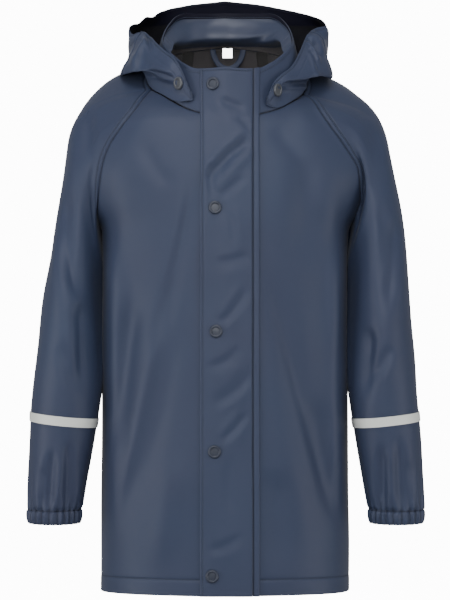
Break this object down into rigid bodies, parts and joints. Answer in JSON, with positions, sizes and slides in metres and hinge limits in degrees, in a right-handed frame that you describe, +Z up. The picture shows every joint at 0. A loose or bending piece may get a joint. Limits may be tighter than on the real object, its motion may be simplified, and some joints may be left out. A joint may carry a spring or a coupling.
{
  "type": "hooded rain jacket",
  "caption": "Child's hip-length raglan rain jacket in its worn shape: hood down, stand collar, storm flap with ring snaps, gathered cuffs and reflective sleeve tape.",
  "frame": {"origin": "centre of the neck base, level with the side neck points, where the wearer's neck and shoulders hold the jacket", "axes": "+Z up along the jacket's length, +X towards the wearer's left, -Y towards the front"},
  "size_m": [0.4656, 0.2633, 0.723],
  "materials": {
    "coated_cloth": "satin polyurethane-coated knit",
    "reflective_tape": "silver-grey reflective tape",
    "snap_cap": "satin moulded cap with a dished ring",
    "label_cloth": "plain woven label, blank"
  },
  "bodies": {
    "root": {"back": "coated_cloth", "collar": "coated_cloth", "cuff_left": "coated_cloth", "cuff_right": "coated_cloth", "flap_strip": "coated_cloth", "front_left": "coated_cloth", "front_right": "coated_cloth", "hang_loop": "coated_cloth", "hood_centre": "coated_cloth", "hood_left": "coated_cloth", "hood_right": "coated_cloth", "hood_snap_left": "snap_cap", "hood_snap_right": "snap_cap", "label": "label_cloth", "sleeve_left": "coated_cloth", "sleeve_right": "coated_cloth", "snap_1": "snap_cap", "snap_2": "snap_cap", "snap_3": "snap_cap", "snap_4": "snap_cap", "snap_5": "snap_cap", "storm_flap": "coated_cloth", "tape_left": "reflective_tape", "tape_right": "reflective_tape"}
  },
  "joints": []
}
